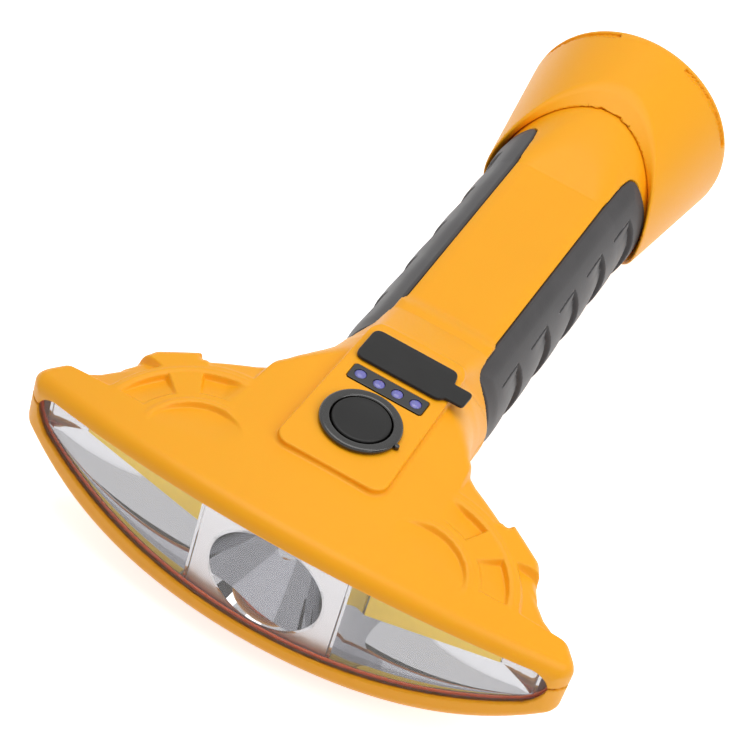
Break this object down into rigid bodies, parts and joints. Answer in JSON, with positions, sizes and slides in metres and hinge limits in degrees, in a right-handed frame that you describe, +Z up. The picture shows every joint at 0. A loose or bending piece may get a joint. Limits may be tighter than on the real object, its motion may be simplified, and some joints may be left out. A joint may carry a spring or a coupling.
{
  "type": "hand torch",
  "caption": "Rechargeable hand torch with a wide bow-shaped head, one round and two trough reflectors, push button, port cover and flared tail.",
  "frame": {"origin": "centre of the base of the bounding box, on the surface that the tail cup's rim touches", "axes": "+Y from the head to the tail along the handle, +Z up through the button, +X to the right seen from the tail with the button up"},
  "size_m": [0.145, 0.2162, 0.057],
  "materials": {
    "orange_plastic": "satin moulded ABS",
    "grip_rubber": "matt soft-touch rubber",
    "black_plastic": "gloss moulded",
    "cover_rubber": "smooth rubber",
    "clear_lens": "clear polycarbonate",
    "seal_rubber": "matt",
    "reflector_chrome": "vacuum-plated mirror coat on plastic",
    "phosphor": "cast yellow phosphor resin",
    "light_metal": "plain",
    "light_lens": "tinted diffuser",
    "steel": "plated",
    "circuit_board": "solder mask",
    "cell_can": "blue shrink film over a metal can",
    "grey_plastic": "moulded",
    "lead_cover": "insulated wire"
  },
  "bodies": {
    "housing": {"upper_housing": "orange_plastic", "lower_housing": "orange_plastic", "tail_cup": "orange_plastic", "tail_end_cap": "orange_plastic", "grip_left": "grip_rubber", "grip_right": "grip_rubber", "button_ring": "black_plastic", "light_window": "black_plastic", "battery_light_1": "light_lens", "battery_light_2": "light_lens", "battery_light_3": "light_lens", "battery_light_4": "light_lens", "switch_body": "black_plastic", "output_socket": "steel", "charge_socket": "steel", "control_board": "circuit_board", "board_screw_1": "steel", "board_screw_2": "steel", "case_screw_1": "steel", "case_screw_2": "steel", "case_screw_3": "steel", "case_screw_4": "steel", "battery_cell": "cell_can", "battery_cradle": "grey_plastic", "front_contact": "steel", "rear_spring": "steel", "lead_left": "lead_cover", "lead_right": "lead_cover", "lead_spot": "lead_cover", "lead_battery": "lead_cover", "lens": "clear_lens", "lens_seal": "seal_rubber", "spot_reflector": "reflector_chrome", "flood_reflector_left": "reflector_chrome", "flood_reflector_right": "reflector_chrome", "strip_phosphor_left": "phosphor", "strip_phosphor_right": "phosphor", "strip_board_left": "light_metal", "strip_board_right": "light_metal", "spot_led": "phosphor", "spot_board": "light_metal", "heat_sink": "light_metal"},
    "button": {"button_cap": "black_plastic", "switch_plunger": "black_plastic"},
    "port_cover": {"port_cover": "cover_rubber"}
  },
  "joints": [
    {"name": "button_press", "type": "slide", "parent": "housing", "child": "button", "axis": [0, 0, -1], "range_m": [0, 0.001], "stiffness_N_per_m": 300, "springref_m": -0.0005},
    {"name": "port_cover_hinge", "type": "hinge", "parent": "housing", "child": "port_cover", "pos_m": [-0.0116, -0.04175, 0.0518], "axis": [0, -1, 0], "range_deg": [0, 110]}
  ]
}
